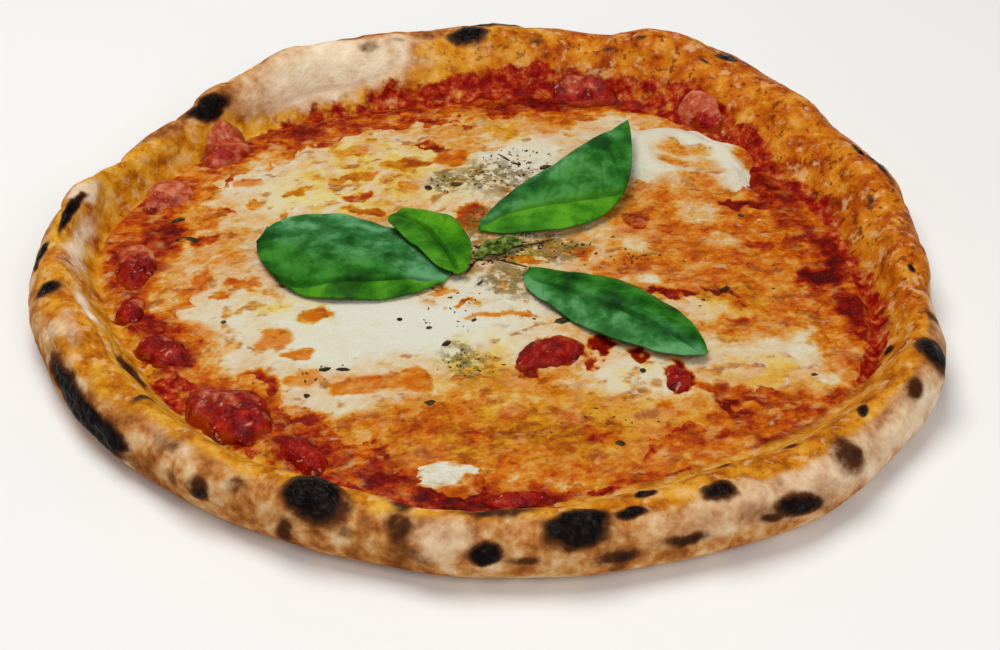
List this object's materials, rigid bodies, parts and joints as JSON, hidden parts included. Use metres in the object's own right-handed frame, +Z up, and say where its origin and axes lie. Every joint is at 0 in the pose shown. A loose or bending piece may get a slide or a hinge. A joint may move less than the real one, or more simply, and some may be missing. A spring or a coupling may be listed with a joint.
{
  "type": "margherita pizza",
  "caption": "Whole uncut Neapolitan margherita pizza with a puffed, leopard-spotted rim, tomato sauce, melted mozzarella and fresh basil leaves; rests on its flat underside.",
  "frame": {"origin": "on the flat underside, below the middle of the outline seen from above", "axes": "+Z up out of the topping; +Y towards the back of the pizza, where the two tall puffs of the rim stand; +X to the right"},
  "size_m": [0.3076, 0.3164, 0.025],
  "materials": {
    "crust": "baked, matt, with char spots",
    "sauce": "wet and oily",
    "cheese": "melted, satin, oily",
    "tomato": "wet",
    "basil": "satin leaf"
  },
  "bodies": {
    "root": {"crust": "crust", "tomato_sauce": "sauce", "mozzarella_sheet": "cheese", "mozzarella_slice": "cheese", "mozzarella_curd": "cheese", "tomato_piece_back_left": "tomato", "tomato_piece_left_upper": "tomato", "tomato_piece_left": "tomato", "tomato_piece_left_tail": "tomato", "tomato_piece_left_lower": "tomato", "tomato_piece_front_left": "tomato", "tomato_piece_front": "tomato", "tomato_piece_front_middle": "tomato", "tomato_piece_back": "tomato", "tomato_piece_back_right": "tomato", "tomato_piece_middle": "tomato", "tomato_piece_right": "tomato", "basil_leaf_left": "basil", "basil_leaf_small": "basil", "basil_leaf_back": "basil", "basil_leaf_front": "basil", "basil_sprig": "basil"}
  },
  "joints": []
}
